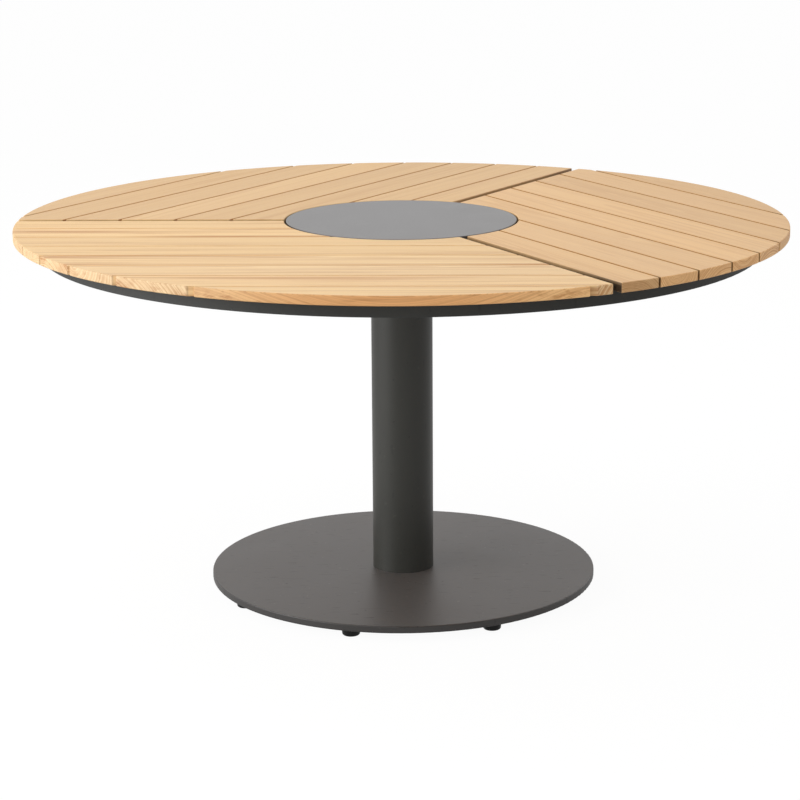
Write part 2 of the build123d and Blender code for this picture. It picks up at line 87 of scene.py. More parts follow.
def joined(operation: str, swapped: bool = False) -> Callable[["Value", "Operand"], "Value"]:
    """Make an operator of Value, which adds one Math node.

    Args:
        operation: What the node does.
        swapped: True for the reflected form, where the other operand comes first.

    Returns:
        The operator.
    """

    def operator(own: "Value", other: "Operand") -> "Value":
        """Join both operands in their order."""
        return own.graph.maths(operation, *((other, own) if swapped else (own, other)))

    return operator


class Value:
    """A shader socket that can be used in Python arithmetic."""

    __add__, __radd__ = joined("ADD"), joined("ADD", swapped=True)
    __sub__, __rsub__ = joined("SUBTRACT"), joined("SUBTRACT", swapped=True)
    __mul__, __rmul__ = joined("MULTIPLY"), joined("MULTIPLY", swapped=True)
    __truediv__ = joined("DIVIDE")
    at_most = joined("MINIMUM")

    def __init__(self, graph: "Graph", socket: bpy.types.NodeSocket) -> None:
        """Keep the socket and the graph it belongs to."""
        self.graph = graph
        self.socket = socket

    def root(self) -> "Value":
        """Square root."""
        return self.graph.maths("SQRT", self)

    def fraction(self) -> "Value":
        """Part after the decimal point."""
        return self.graph.maths("FRACT", self)

    def clamped(self) -> "Value":
        """Value held between 0 and 1."""
        return self.graph.maths("MAXIMUM", self.at_most(1.0), 0.0)


Operand = Value | float
Given = Value | float | Sequence[float]


class Graph:
    """One node tree, filled by calls that each add a node."""

    def __init__(self, tree: bpy.types.NodeTree) -> None:
        """Start from an empty tree."""
        self.tree = tree
        tree.nodes.clear()

    @staticmethod
    def socket(sockets: Iterable[bpy.types.NodeSocket], key: int | str) -> bpy.types.NodeSocket:
        """Find a socket by number, identifier or name.

        Args:
            sockets: The inputs or outputs of a node.
            key: Its number, identifier or name.

        Returns:
            The socket.
        """
        if isinstance(key, int):
            return sockets[key]
        for candidate in sockets:
            if candidate.identifier == key:
                return candidate
        return sockets[key]

    def node(
        self,
        kind: str,
        settings: dict[str, object],
        sockets: dict[int | str, Given],
        output: int | str = 0,
    ) -> Value:
        """Add one node.

        Args:
            kind: The node's type.
            settings: Its properties, which are set first.
            sockets: Values or links of its inputs.
            output: The output to hand back.

        Returns:
            The chosen output, or an empty value for a node without outputs.
        """
        made = self.tree.nodes.new(kind)
        for name, setting in settings.items():
            setattr(made, name, setting)
        for key, given in sockets.items():
            target = self.socket(made.inputs, key)
            if isinstance(given, Value):
                self.tree.links.new(given.socket, target)
            else:
                target.default_value = given
        return Value(self, self.socket(made.outputs, output) if made.outputs else None)

    def maths(self, operation: str, *operands: Operand) -> Value:
        """Add a Math node on one, two or three operands."""
        return self.node("ShaderNodeMath", {"operation": operation}, dict(enumerate(operands)))

    def smooth(self, value: Value, low: float, high: float) -> Value:
        """Ease a value from 0 at low to 1 at high; low may be the larger."""
        sockets = {"Value": value, "From Min": low, "From Max": high}
        return self.node("ShaderNodeMapRange", {"interpolation_type": "SMOOTHSTEP"}, sockets)

    def mix(self, factor: Operand, first: Given, second: Given) -> Value:
        """Mix two colours.

        Args:
            factor: Share of the second colour.
            first: Colour at factor 0.
            second: Colour at factor 1.

        Returns:
            The mixed colour.
        """
        sockets = {"Factor_Float": factor}
        for key, colour in (("A_Color", first), ("B_Color", second)):
            sockets[key] = colour if isinstance(colour, Value) else (*colour, 1.0)
        return self.node("ShaderNodeMix", {"data_type": "RGBA"}, sockets, "Result_Color")

    def shaded(self, colour: Given, factor: Operand) -> Value:
        """Scale a colour by a value."""
        return self.node("ShaderNodeVectorMath", {"operation": "SCALE"}, {0: colour, "Scale": factor})

    def parts(self, vector: Value) -> list[Value]:
        """Split a vector into its X, Y and Z."""
        return [self.node("ShaderNodeSeparateXYZ", {}, {"Vector": vector}, axis) for axis in "XYZ"]

    def noise(
        self,
        vector: Value,
        scale: float | Triple,
        detail: float,
        roughness: float = 0.5,
        shift: Triple = (0.0, 0.0, 0.0),
    ) -> Value:
        """Add a noise texture.

        Args:
            vector: Where it is read.
            scale: How many features there are in a metre, or in a metre along X, Y and Z.
            detail: Number of finer layers.
            roughness: Strength of each finer layer.
            shift: Shift of a pattern that has a scale along each axis.

        Returns:
            Its value, from 0 to 1.
        """
        if isinstance(scale, tuple):
            sockets = {"Vector": vector, "Scale": scale, "Location": shift}
            vector, scale = self.node("ShaderNodeMapping", {}, sockets), 1.0
        sockets = {"Vector": vector, "Scale": scale, "Detail": detail, "Roughness": roughness}
        return self.node("ShaderNodeTexNoise", {}, sockets, "Fac")

    def bump(self, height: Value, depth: float, strength: float) -> Value:
        """Turn a height into a normal, with its depth in metres."""
        return self.node("ShaderNodeBump", {}, {"Height": height, "Distance": depth, "Strength": strength})


class Surface(Graph):
    """The node tree of one material, ending in a Principled shader."""

    def __init__(self, name: str) -> None:
        """Make the material and its Object coordinates.

        Args:
            name: Name of the material.
        """
        self.material = bpy.data.materials.new(name)
        self.material.use_nodes = True
        super().__init__(self.material.node_tree)
        self.place = self.node("ShaderNodeTexCoord", {}, {}, "Object")

    def finish(self, colour: Value, roughness: Value, normal: Value, **constants: float) -> None:
        """Close the tree with a Principled shader.

        Args:
            colour: Base colour.
            roughness: Roughness.
            normal: Bumped normal.
            constants: Other inputs of the shader, with their spaces as underscores.
        """
        sockets = {"Base Color": colour, "Roughness": roughness, "Normal": normal}
        sockets.update({name.replace("_", " "): value for name, value in constants.items()})
        shader = self.node("ShaderNodeBsdfPrincipled", {}, sockets)
        self.node("ShaderNodeOutputMaterial", {}, {"Surface": shader})


class Finish:
    """A finish that fills the nodes of a material."""

    def paint(self, surface: Surface) -> None:
        """Fill the nodes; each finish has its own way."""
        raise NotImplementedError

    def material(self, name: str) -> bpy.types.Material:
        """Make a material of this finish.

        Args:
            name: Name of the material.

        Returns:
            The material.
        """
        surface = Surface(name)
        self.paint(surface)
        return surface.material


class Sector(Enum):
    """The three blades of the pinwheel, by the angle of their own seam in degrees."""

    LEFT = 60.0
    FRONT = 180.0
    RIGHT = 300.0

    def plank(self, index: int) -> str:
        """Name of the node of one plank, counted from 0 beside the sector's own seam."""
        return f"{self.name.lower()}_plank_{index + 1}"


# Painted shade for teak on the seam walls, teak where the sawn rim has drunk oil, and teak left nearly dry
PAINTED_SEAM_SHADE = linear(90, 68, 42)
AMBER = linear(224, 146, 78)
CREAM = linear(244, 214, 170)

# A distance outside the top, for a gap or wall that a plank doesn't have
OUTSIDE = 1.0


@dataclass(frozen=True)
class Rim:
    """Look of a sawn rim.

    Attributes:
        tint: Colour that the sawn wood takes.
        share: Share of that colour.
        curve: Brightness, painted light: its value, slope and bend along the plank, per metre.
        fade: How much of the share is gone at both ends of a long rim.
    """

    tint: Colour
    share: float
    curve: Triple = (1.0, 0.0, 0.0)
    fade: float = 0.0


@dataclass(frozen=True)
class Blade:
    """What the planks of one sector have in common.

    Attributes:
        pale: Colour of the early wood; the sectors differ in it by painted sheen, from how their grain
            lies to the light.
        figure: Strength of the growth rings on the face.
        end_figure: Strength that the rings gain on the sawn rim.
        streak: Strength of the long streaks.
        gap_shade_colour: Painted shade colour of the sides inside the gaps.
        gap_shade_share: Share of that painted shade inside the top.
        gap_shade_fade: How much of that share is gone at the rim.
        rim: Look of the sawn rim.
        wall: Painted shade colour of the wall along the own seam.
        end_share: Share of the painted seam shade on the sawn ends along the far seam.
        pith: Least and greatest distance of the pith line from a plank's middle.
    """

    pale: Colour
    figure: float
    end_figure: float
    streak: float
    gap_shade_colour: Colour
    gap_shade_share: float
    gap_shade_fade: float
    rim: Rim
    wall: Colour = PAINTED_SEAM_SHADE
    end_share: float = 0.5
    pith: Span = (0.02, 0.11)


# The sectors' pale colours differ as painted sheen, from how each sector's grain lies to the light
BLADES = {
    Sector.LEFT: Blade(
        pale=linear(226, 186, 131),
        figure=0.22,
        end_figure=0.3,
        streak=0.28,
        gap_shade_colour=linear(176, 114, 54),
        gap_shade_share=0.75,
        gap_shade_fade=0.3,
        rim=Rim(AMBER, 0.3),
        wall=linear(186, 136, 94),
        end_share=0.12,
    ),
    Sector.FRONT: Blade(
        pale=linear(249, 211, 151),
        figure=0.42,
        end_figure=0.12,
        streak=0.85,
        gap_shade_colour=linear(186, 118, 62),
        gap_shade_share=0.36,
        gap_shade_fade=0.16,
        rim=Rim(CREAM, 0.5, (0.8, -0.4, 0.55)),
    ),
    Sector.RIGHT: Blade(
        pale=linear(235, 191, 134),
        figure=0.22,
        end_figure=0.6,
        streak=0.2,
        gap_shade_colour=linear(161, 106, 28),
        gap_shade_share=0.95,
        gap_shade_fade=0.1,
        rim=Rim(AMBER, 0.1, (1.22, 0.0, 0.0)),
        pith=(0.0, 0.03),
    ),
}


@dataclass(frozen=True)
class Teak(Finish):
    """Oiled teak of one plank.

    The growth rings are cylinders about a pith line that runs nearly along the plank, so that the
    face shows long streaks and the sawn end shows arcs.  The sides inside the gaps and the walls of
    the seams are darkened with painted shade, and the sawn rim's brightness is painted light.
    Distances across are from the line of the sector's own seam, in metres.

    Attributes:
        turn: Angle of the grain in plan, in degrees.
        near: Distance of the gap before the plank.
        far: Distance of the gap behind the plank.
        seam: Distance of the wall of the own seam, for the first plank.
        pith_across: Distance of the pith line.
        pith_up: Height of the pith line.
        lean: Slopes of the pith line across and up.
        ring_width: Mean width of a growth ring.
        wander: How far the rings stray from true cylinders.
        streak: Strength of the long streaks.
        seed: Shift of every noise field.
        pale: Colour of the early wood.
        tone: Brightness against the other planks, at random, times painted light and shade for a few.
        top: Height of the face.
        blade: What the sector's planks have in common.
        sawn_rim: Look of the sawn rim.
        warm: Colour of the late wood and of the streaks.
        rim: Radius of the top.
        far_seam: Angle of the far seam against the own one.
        fade_reach: Distance from the middle of a long rim where its tint has faded.
        rim_face: Depths in from the rim where its look starts and is full.
        gap_side: Distances from a gap where its painted shade starts and is full.
        gap_fade: Depths in from the rim where that painted shade starts to fade and has faded.
        wall_side: Distances from a seam where the look of its wall starts and is full.
        wall_depth: Depths below the face where a wall's painted shade starts and is darkest.
        wall_shade: Depths in from the rim where that painted shade starts and is full.
        wall_end: Depths in from the rim where the wall's outer end, darker with painted shade, starts and
            is full.
    """

    turn: float
    near: float
    far: float
    seam: float
    pith_across: float
    pith_up: float
    lean: Span
    ring_width: float
    wander: float
    streak: float
    seed: float
    pale: Colour
    tone: float
    top: float
    blade: Blade
    sawn_rim: Rim
    warm: Colour = linear(190, 132, 74)
    rim: float = 0.75
    far_seam: float = math.radians(120.0)
    fade_reach: float = 0.3
    rim_face: Span = (0.0022, 0.0006)
    gap_side: Span = (0.002, 0.0006)
    gap_fade: Span = (0.03, 0.006)
    wall_side: Span = (0.0016, 0.0004)
    wall_depth: Span = (0.003, 0.01)
    wall_shade: Span = (0.012, 0.022)
    wall_end: Span = (0.2, 0.03)

    def paint(self, wood: Surface) -> None:
        """Fill the plank's nodes.

        Args:
            wood: The node tree.
        """
        blade = self.blade
        turn = (0.0, 0.0, -math.radians(self.turn))
        grain = wood.node("ShaderNodeMapping", {}, {"Vector": wood.place, "Rotation": turn})
        along, across, up = wood.parts(grain)
        shift = (self.seed, 1.7 * self.seed, 2.3 * self.seed)

        # Growth rings: distance from the pith line, cut into years of uneven width
        stray = wood.noise(grain, (1.3, 20.0, 20.0), 2.0, 0.45, shift)
        aside = across - self.pith_across + along * self.lean[0]
        above = up - self.pith_up + along * self.lean[1]
        radius = (aside * aside + above * above).root() + (stray - 0.5) * self.wander
        year = radius / self.ring_width
        sockets = {"W": year * 0.37 + self.seed, "Detail": 1.0}
        uneven = wood.node("ShaderNodeTexNoise", {"noise_dimensions": "1D"}, sockets, "Fac")
        ring = (year + uneven * 2.2).fraction()
        late = wood.smooth(ring, 0.2, 0.92) * wood.smooth(ring, 1.0, 0.94)

        # Long streaks, fibres and pores, all drawn out along the grain
        broad = wood.noise(grain, (1.1, 30.0, 30.0), 2.0, 0.5, shift)
        narrow = wood.noise(grain, (2.2, 85.0, 85.0), 3.0, 0.6, shift)
        fibre = wood.noise(grain, (14.0, 900.0, 900.0), 2.0, 0.6, shift)
        pore = wood.noise(grain, (55.0, 1500.0, 1500.0), 1.0, 0.5, shift)
        pores = wood.smooth(pore, 0.66, 0.76) * (0.35 + 0.65 * wood.smooth(ring, 0.3, 0.02))
        cloud = wood.noise(grain, (1.1, 3.0, 3.0), 1.0, 0.5, shift)
        streaks = wood.smooth(broad, 0.5, 0.72) * 0.6 + wood.smooth(narrow, 0.52, 0.7) * 0.55

        # The sawn rim has a tint of its own and a brightness along the plank that is painted light, and
        # its rings stand out
        inset = self.rim - (along * along + across * across).root()
        edge = wood.smooth(inset, *self.rim_face)
        faded = self.sawn_rim.fade * wood.smooth(along * along, 0.0, self.fade_reach**2)
        base = wood.mix(edge * (self.sawn_rim.share * (1.0 - faded)), self.pale, self.sawn_rim.tint)
        warmth = late * (blade.figure + edge * blade.end_figure) + streaks * self.streak
        colour = wood.mix(warmth.clamped(), base, self.warm)
        shade = self.tone + (cloud - 0.5) * 0.1 + (fibre - 0.5) * 0.14 - pores * 0.2
        # Painted light on the sawn rim, from the rim's brightness curve
        level, slope, bend = self.sawn_rim.curve
        shade = shade * (1.0 + edge * (level - 1.0 + along * (slope + along * bend)))
        colour = wood.shaded(colour, shade)

        # Painted shade on the sides beside the gaps; towards the rim it is thinner and darker
        side = (across - self.near).at_most(self.far - across)
        outer = wood.smooth(inset, *self.gap_fade)
        gap = wood.smooth(side, *self.gap_side) * (blade.gap_shade_share - blade.gap_shade_fade * outer)
        colour = wood.mix(gap, colour, wood.shaded(blade.gap_shade_colour, 1.0 - 0.6 * outer))

        # Painted shade on the walls along both seams, darker downwards and inwards, and on the sawn ends
        # along the far seam, darker downwards
        deep = wood.smooth(self.top - up, *self.wall_depth)
        inner = wood.smooth(inset, *self.wall_shade)
        outwards = wood.smooth(inset, *self.wall_end)
        share = (0.5 + 0.45 * deep + 0.35 * outwards).clamped()
        painted_wall_shade = (1.0 - 0.75 * deep * inner) * (1.0 - 0.4 * outwards)
        own_wall = wood.smooth(across - self.seam, *self.wall_side) * share
        colour = wood.mix(own_wall, colour, wood.shaded(blade.wall, painted_wall_shade))
        beyond = along * math.sin(self.far_seam) - across * math.cos(self.far_seam)
        share = blade.end_share + (0.9 - blade.end_share) * deep
        colour = wood.mix(wood.smooth(beyond, *self.wall_side) * share, colour, PAINTED_SEAM_SHADE)

        relief = fibre * 0.6 - pores * 0.9 - late * 0.25
        roughness = 0.5 + (fibre - 0.5) * 0.16 + (cloud - 0.5) * 0.1 + gap * 0.3
        wood.finish(colour, roughness, wood.bump(relief, 0.00025, 0.5))


@dataclass(frozen=True)
class PlainFinish(Finish):
    """A finish of one ground colour.

    Attributes:
        colour: Base colour.
        roughness: Mean roughness.
    """

    colour: Colour
    roughness: float


@dataclass(frozen=True)
class PowderCoat(PlainFinish):
    """Fine-textured dark powder coat with orange peel, a few rub marks and painted shade.

    Attributes:
        scuffs: Strength of the rub marks.
        sheen: Specular level, where 0.5 is plain lacquer.
        plate: Radius of a round plate whose edge is darkened with painted shade, or 0.
        painted_shade_heights: Heights where painted shade on the coat starts and where it is fullest.
        plate_edge: Depths in from a plate's edge where its look starts and is full.
        painted_edge_shade: How much darker that painted shade makes the edge.
        painted_shade_dim: How much darker that painted shade is.
    """

    scuffs: float
    sheen: float
    plate: float = 0.0
    painted_shade_heights: Span = (2.0, 3.0)
    plate_edge: Span = (0.0014, 0.0004)
    painted_edge_shade: float = 0.68
    painted_shade_dim: float = 0.5

    def paint(self, coat: Surface) -> None:
        """Fill the coat's nodes.

        Args:
            coat: The node tree.
        """
        cloud = coat.noise(coat.place, 9.0, 4.0, 0.6)
        peel = coat.noise(coat.place, 620.0, 2.0)
        grain = coat.noise(coat.place, 2600.0, 1.0)
        rubbed = coat.noise(coat.place, (30.0, 330.0, 30.0), 0.0, 0.5, (3.1, 0.7, 1.9))
        scuff = coat.smooth(rubbed, 0.75, 0.82) * self.scuffs
        spot = coat.noise(coat.place, 130.0, 0.0)
        fleck = (coat.smooth(spot, 0.8, 0.84) - coat.smooth(spot, 0.2, 0.16)) * self.scuffs
        shade = 1.0 + (cloud - 0.5) * 0.22 + (grain - 0.5) * 0.2 - scuff * 0.3 - fleck * 0.5
        x, y, z = coat.parts(coat.place)
        # Painted shade in a band of heights: under the planks on the ring, and at the base plate's
        # underside
        shade = shade * (1.0 - coat.smooth(z, *self.painted_shade_heights) * self.painted_shade_dim)
        # Painted shade on the plate's rounded edge
        if self.plate > 0.0:
            inset = self.plate - (x * x + y * y).root()
            shade = shade * (1.0 - coat.smooth(inset, *self.plate_edge) * self.painted_edge_shade)
        coat.finish(
            coat.shaded(self.colour, shade),
            self.roughness + (cloud - 0.5) * 0.08 + scuff * 0.12,
            coat.bump(peel + grain * 0.5, 0.00006, 0.5),
            Specular_IOR_Level=self.sheen,
        )


class Stoneware(PlainFinish):
    """Honed dark stoneware of the turntable."""

    def paint(self, stone: Surface) -> None:
        """Fill the stoneware's nodes.

        Args:
            stone: The node tree.
        """
        cloud = stone.noise(stone.place, 14.0, 5.0, 0.6)
        speck = stone.noise(stone.place, 900.0, 1.0)
        mineral = stone.smooth(speck, 0.62, 0.72)
        stone.finish(
            stone.shaded(self.colour, 1.0 + (cloud - 0.5) * 0.24 + mineral * 0.25),
            self.roughness + (cloud - 0.5) * 0.08 - mineral * 0.05,
            stone.bump(speck, 0.00004, 0.4),
        )


class Nylon(PlainFinish):
    """Moulded black nylon of the feet, bush and cage."""

    def paint(self, nylon: Surface) -> None:
        """Fill the nylon's nodes.

        Args:
            nylon: The node tree.
        """
        spark = nylon.noise(nylon.place, 1400.0, 2.0, 0.6)
        worn = nylon.smooth(nylon.noise(nylon.place, 90.0, 3.0, 0.6), 0.55, 0.75)
        nylon.finish(
            nylon.shaded(self.colour, 1.0 + worn * 0.8),
            self.roughness + (spark - 0.5) * 0.15 + worn * 0.08,
            nylon.bump(spark, 0.00005, 0.4),
            Specular_IOR_Level=0.25,
        )


class ZincSteel(PlainFinish):
    """Bright zinc plating of screws, bolts, races and balls."""

    def paint(self, zinc: Surface) -> None:
        """Fill the plating's nodes.

        Args:
            zinc: The node tree.
        """
        spangle = zinc.noise(zinc.place, 260.0, 3.0, 0.6)
        scratch = zinc.noise(zinc.place, (400.0, 400.0, 2600.0), 1.0, 0.5, (0.4, 1.1, 2.0))
        zinc.finish(
            zinc.shaded(self.colour, 0.92 + spangle * 0.16),
            self.roughness + (spangle - 0.5) * 0.16,
            zinc.bump(scratch, 0.00002, 0.4),
            Metallic=1.0,
        )


def quads_of(rows: int, columns: int) -> np.ndarray:
    """Corner numbers of the quads between neighbouring points of a grid.

    Args:
        rows: Number of rows of points.
        columns: Number of points in a row.

    Returns:
        An array of four corner numbers for each quad.
    """
    number = np.arange(rows * columns).reshape(rows, columns)
    corners = (number[:-1, :-1], number[:-1, 1:], number[1:, 1:], number[1:, :-1])
    return np.stack([corner.ravel() for corner in corners], axis=1)


def new_piece(name: str, grids: Sequence[np.ndarray], crease: float = 40.0) -> bpy.types.Object:
    """Make one mesh object from grids of points, with seams and poles closed.

    Args:
        name: Name of the piece.
        grids: Arrays of shape (rows, columns, 3), in metres.
        crease: Edges that turn by more than this many degrees stay sharp.

    Returns:
        The object, at the origin.
    """
    points = np.concatenate([grid.reshape(-1, 3) for grid in grids])
    starts = np.cumsum([0] + [grid.shape[0] * grid.shape[1] for grid in grids[:-1]])
    quads = np.concatenate([quads_of(*grid.shape[:2]) + start for grid, start in zip(grids, starts)])
    mesh = bpy.data.meshes.new(name)
    mesh.vertices.add(len(points))
    mesh.vertices.foreach_set("co", points.astype(np.float32).ravel())
    mesh.loops.add(quads.size)
    mesh.loops.foreach_set("vertex_index", quads.astype(np.int32).ravel())
    mesh.polygons.add(len(quads))
    mesh.polygons.foreach_set("loop_start", np.arange(0, quads.size, 4, dtype=np.int32))
    mesh.update(calc_edges=True)
    shell = bmesh.new()
    shell.from_mesh(mesh)
    bmesh.ops.remove_doubles(shell, verts=shell.verts, dist=1e-6)
    bmesh.ops.dissolve_degenerate(shell, edges=shell.edges, dist=1e-7)
    bmesh.ops.recalc_face_normals(shell, faces=shell.faces)
    shell.to_mesh(mesh)
    shell.free()
    mesh.polygons.foreach_set("use_smooth", np.ones(len(mesh.polygons), dtype=bool))
    mesh.set_sharp_from_angle(angle=math.radians(crease))
    piece = bpy.data.objects.new(name, mesh)
    bpy.context.scene.collection.objects.link(piece)
    return piece


def circle(count: int) -> np.ndarray:
    """Angles once round, the last at the same place as the first."""
    return np.linspace(0.0, 2.0 * np.pi, count)


def turned(radius: np.ndarray, height: np.ndarray, centre: Sequence[float]) -> np.ndarray:
    """Surface about an upright axis, with radius and height given for each row and angle.

    Args:
        radius: Array that broadcasts to (rows, angles).
        height: Array that broadcasts to the same shape.
        centre: Plan position of the axis.

    Returns:
        A grid of points whose first and last column meet.
    """
    radius, height = np.broadcast_arrays(radius, height)
    angle = circle(radius.shape[1])
    x = centre[0] + radius * np.cos(angle)
    y = centre[1] + radius * np.sin(angle)
    return np.stack([x, y, height], axis=-1)


def lathed(profile: Sequence[Sequence[float]], count: int, centre: Sequence[float]) -> np.ndarray:
    """Round surface of a profile that is the same at every angle.

    Args:
        profile: Radius and height of each row.
        count: Number of angles.
        centre: Plan position of the axis.

    Returns:
        A grid of points whose first and last column meet.
    """
    rows = np.asarray(profile)
    return turned(np.repeat(rows[:, :1], count, axis=1), rows[:, 1:], centre)


def bead(
    path: np.ndarray, first: np.ndarray, second: np.ndarray, leg: float, closed: bool = False
) -> np.ndarray:
    """Fillet weld: a quarter-round profile carried along the corner of two faces.

    The leg swells and shrinks a little with each ripple of the weld, and tapers at open ends.

    Args:
        path: Points of the corner, shape (rows, 3).
        first: Direction along the one face, for all points or for each.
        second: Direction along the other face.
        leg: Length of the weld's legs.
        closed: True if the path meets itself.

    Returns:
        A grid of points.
    """
    steps = np.linalg.norm(np.diff(path, axis=0), axis=1)
    length = np.concatenate([[0.0], np.cumsum(steps)])
    size = leg * (1.0 + SWELL * np.abs(np.sin(np.pi * length / RIPPLE)))
    if not closed:
        inside = np.minimum(length, length[-1] - length) / (TAPER * leg)
        size = size * np.sqrt(np.clip(inside, 0.0, 1.0))
    angle = np.linspace(0.0, 0.5 * np.pi, 7)
    shares = np.pad([np.cos(angle), np.sin(angle)], ((0, 0), (1, 1)))
    ways = [np.broadcast_to(way, path.shape) for way in (first, second)]
    spread = sum(share[None, :, None] * way[:, None, :] for share, way in zip(shares, ways))
    return path[:, None, :] + size[:, None, None] * spread


def shafts(node: str, reach: float) -> list[tuple[np.ndarray, float, float]]:
    """Find the separate upright fasteners of a CAD node.

    Args:
        node: Name of the node.
        reach: No fastener is wider than this.

    Returns:
        The plan position, lowest and highest height of each.
    """
    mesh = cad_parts[node].data
    points = np.empty(3 * len(mesh.vertices), dtype=np.float32)
    mesh.vertices.foreach_get("co", points)
    points = points.reshape(-1, 3).astype(float)
    low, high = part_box(node)
    found = []
    while len(points):
        own = np.hypot(*(points[:, :2] - points[0, :2]).T) < reach
        corner_low, corner_high = points[own].min(axis=0), points[own].max(axis=0)
        found.append(((corner_low + corner_high)[:2] / 2.0, corner_low[2], corner_high[2]))
        points = points[~own]
    log.info("%s: %d fasteners between %.4f and %.4f m", node, len(found), low.z, high.z)
    return found


def dress(material: bpy.types.Material, *nodes: str) -> None:
    """Give CAD nodes a finished material in their own slots.

    Args:
        material: The material.
        nodes: Names of the nodes.
    """
    for node in nodes:
        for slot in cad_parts[node].material_slots:
            slot.material = material
        log.info("%s: %s", node, material.name)


def seat(piece: bpy.types.Object, body: str, material: bpy.types.Material) -> None:
    """Finish a new piece.

    Args:
        piece: The piece.
        body: The body that carries it.
        material: Its material.
    """
    piece.data.materials.append(material)
    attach(piece, body)
    log.info("%s: %d faces on %s", piece.name, len(piece.data.polygons), body)


@dataclass
class Finishes:
    """Every finish that more than one piece shares.

    Attributes:
        under_planks: Depths below the ring's top where painted shade on it starts and is fullest.
        near_floor: Heights above the base plate's underside where painted shade on it starts and is
            fullest.
    """

    under_planks: Span = (0.01, 0.001)
    near_floor: Span = (0.004, 0.0005)

    def __post_init__(self) -> None:
        """Build the shared materials."""
        ring_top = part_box("rim_ring")[1].z
        plate_low, plate_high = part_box("base_plate")
        upper = tuple(ring_top - depth for depth in self.under_planks)
        lower = tuple(plate_low.z + height for height in self.near_floor)
        frame_coat = PowderCoat(linear(45, 46, 44), 0.55, 0.4, 0.3, painted_shade_heights=upper)
        column_coat = PowderCoat(linear(48, 48, 44), 0.42, 0.5, 0.35)
        # Painted light: the base plate's coat is the same anthracite as the column's and frame's, given a
        # lighter colour
        base_coat = PowderCoat(linear(86, 82, 80), 0.44, 1.0, 0.5, plate_high.x, lower)
        self.frame_coat = frame_coat.material("frame_powder_coat")
        self.column_coat = column_coat.material("column_powder_coat")
        self.base_coat = base_coat.material("base_powder_coat")
        self.stoneware = Stoneware(linear(84, 81, 81), 0.32).material("turntable_stoneware")
        self.nylon = Nylon(linear(5, 5, 5), 0.4).material("moulded_nylon")
        self.zinc = ZincSteel(linear(196, 196, 192), 0.34).material("zinc_plating")


@dataclass
class TeakTop:
    """The planked top: one teak for each plank, drawn from a seeded generator.

    Attributes:
        plank_count: Planks in each sector.
        seed: Seed of the draws.
        odd_planks_cream_and_painted_light: Share of cream, and a brightness that is painted light and
            shade, of the planks that differ, by sector and number.
        odd_rims: Sawn rims that differ from those of their sector, in tint and in painted light.
        pith_rise: Least and greatest distance of the pith line from a plank's underside.
        lean: Greatest slopes of the pith line across and up.
        ring_width: Least and greatest mean width of the growth rings.
        wander: Least and greatest stray of the rings.
        streak: Least and greatest strength of the streaks against the sector's.
        shift: Least and greatest shift of the noise fields.
        tone: Least and greatest brightness.
    """

    plank_count: int = 8
    seed: int = 11
    odd_planks_cream_and_painted_light: dict[tuple[Sector, int], Span] = field(
        default_factory=lambda: {
            (Sector.FRONT, 4): (0.2, 1.0),
            (Sector.FRONT, 5): (0.3, 1.0),
            (Sector.FRONT, 6): (0.15, 1.06),
            (Sector.RIGHT, 5): (0.0, 0.96),
            (Sector.RIGHT, 6): (0.0, 0.94),
            (Sector.RIGHT, 7): (0.0, 0.92),
        }
    )
    odd_rims: dict[tuple[Sector, int], Rim] = field(
        default_factory=lambda: {
            (Sector.FRONT, 7): Rim(AMBER, 0.65, (0.91, -0.62, 0.6), 0.5),
            (Sector.RIGHT, 0): Rim(AMBER, 0.1, (0.8784, 0.0, 0.0)),
        }
    )
    pith_rise: Span = (0.025, 0.08)
    lean: Span = (0.012, 0.015)
    ring_width: Span = (0.003, 0.005)
    wander: Span = (0.004, 0.009)
    streak: Span = (0.6, 1.4)
    shift: Span = (0.0, 40.0)
    tone: Span = (0.97, 1.05)

    def sides(self, index: int) -> Span:
        """Near and far side of a plank, read off the front sector, whose grain runs along X."""
        low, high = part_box(Sector.FRONT.plank(index))
        return -high.y, -low.y

    def teak(self, sector: Sector, index: int, draw: np.random.Generator) -> Teak:
        """Draw the wood of one plank.

        Args:
            sector: The plank's sector.
            index: Its number in the sector, from 0 beside the sector's own seam.
            draw: The generator.

        Returns:
            The plank's teak.
        """
        blade = BLADES[sector]
        near, far = self.sides(index)
        first = index == 0
        last = index == self.plank_count - 1
        bottom, top = (corner.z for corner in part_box(sector.plank(index)))
        # The brightness of a few planks is painted light and shade: darker far right planks, one lighter
        # front plank
        bleach, level = self.odd_planks_cream_and_painted_light.get((sector, index), (0.0, 1.0))
        sideways = draw.choice([-1.0, 1.0]) * draw.uniform(*blade.pith)
        return Teak(
            turn=sector.value,
            near=-OUTSIDE if first else near,
            far=OUTSIDE if last else far,
            seam=near if first else -OUTSIDE,
            pith_across=(near + far) / 2.0 + sideways,
            pith_up=bottom + draw.choice([-1.0, 1.0]) * draw.uniform(*self.pith_rise),
            lean=tuple(draw.uniform(-most, most) for most in self.lean),
            ring_width=draw.uniform(*self.ring_width),
            wander=draw.uniform(*self.wander),
            streak=blade.streak * draw.uniform(*self.streak),
            seed=draw.uniform(*self.shift),
            pale=tuple(np.array(blade.pale) * (1.0 - bleach) + np.array(CREAM) * bleach),
            tone=draw.uniform(*self.tone) * level,
            top=top,
            blade=blade,
            sawn_rim=self.odd_rims.get((sector, index), blade.rim),
        )

    def build(self) -> None:
        """Dress every plank."""
        draw = np.random.default_rng(self.seed)
        for sector in Sector:
            for index in range(self.plank_count):
                node = sector.plank(index)
                dress(self.teak(sector, index, draw).material(f"teak_{node}"), node)


